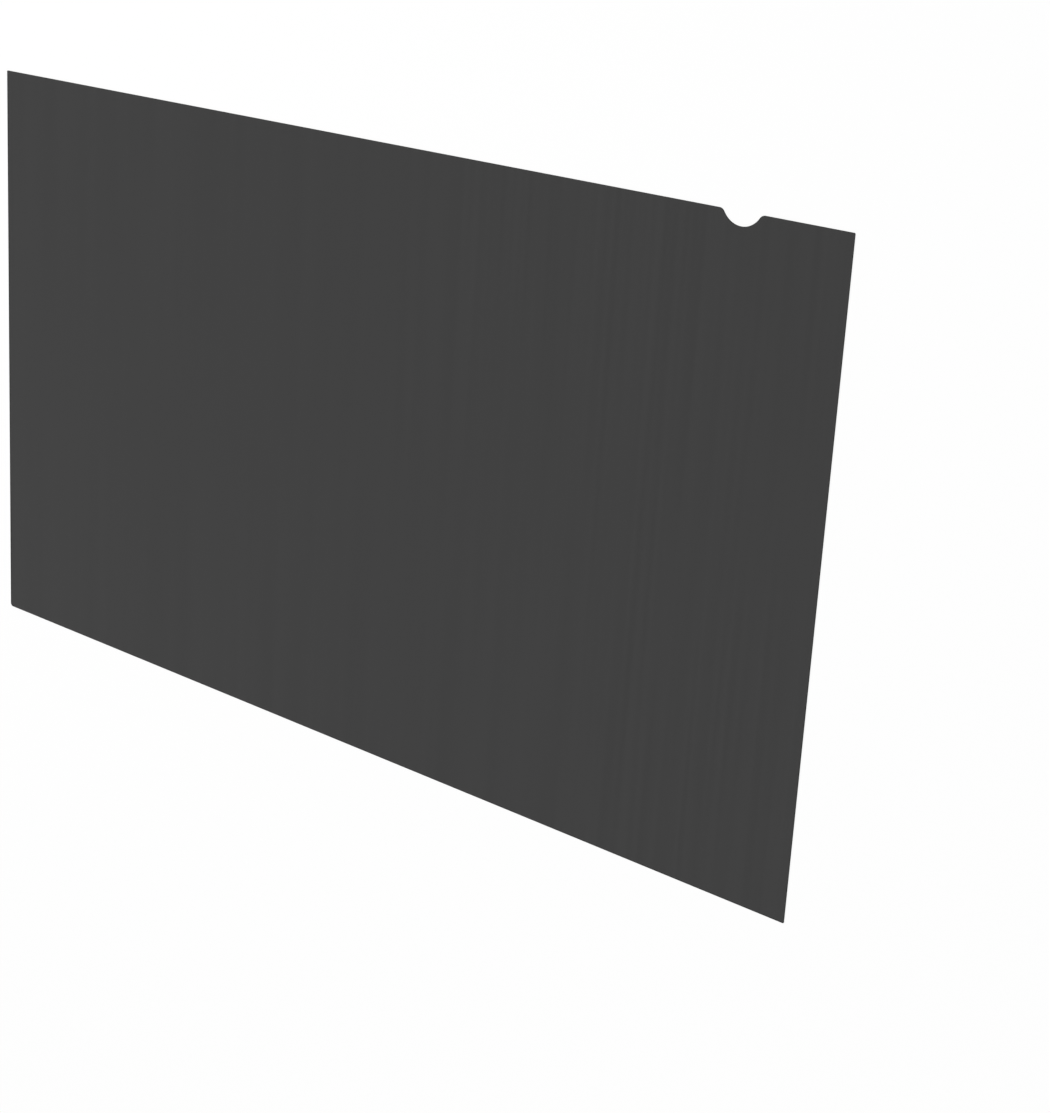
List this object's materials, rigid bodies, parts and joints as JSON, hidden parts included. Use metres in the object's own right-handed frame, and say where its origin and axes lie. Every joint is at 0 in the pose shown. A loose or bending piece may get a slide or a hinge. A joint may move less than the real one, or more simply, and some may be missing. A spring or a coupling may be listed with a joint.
{
  "type": "monitor privacy filter",
  "caption": "Thin flat rectangular sheet of dark see-through louvre film with a round finger notch in its top edge, laid over a wide monitor screen to block side views.",
  "frame": {"origin": "middle of the back face, the one that goes against the screen, on which the sheet lies", "axes": "+X along the width towards the notch's end, +Y towards the notched top edge, +Z out of the front face"},
  "size_m": [0.5976, 0.3362, 0.0005],
  "materials": {
    "louvre_film": null
  },
  "bodies": {
    "root": {"filter_sheet": "louvre_film"}
  },
  "joints": []
}
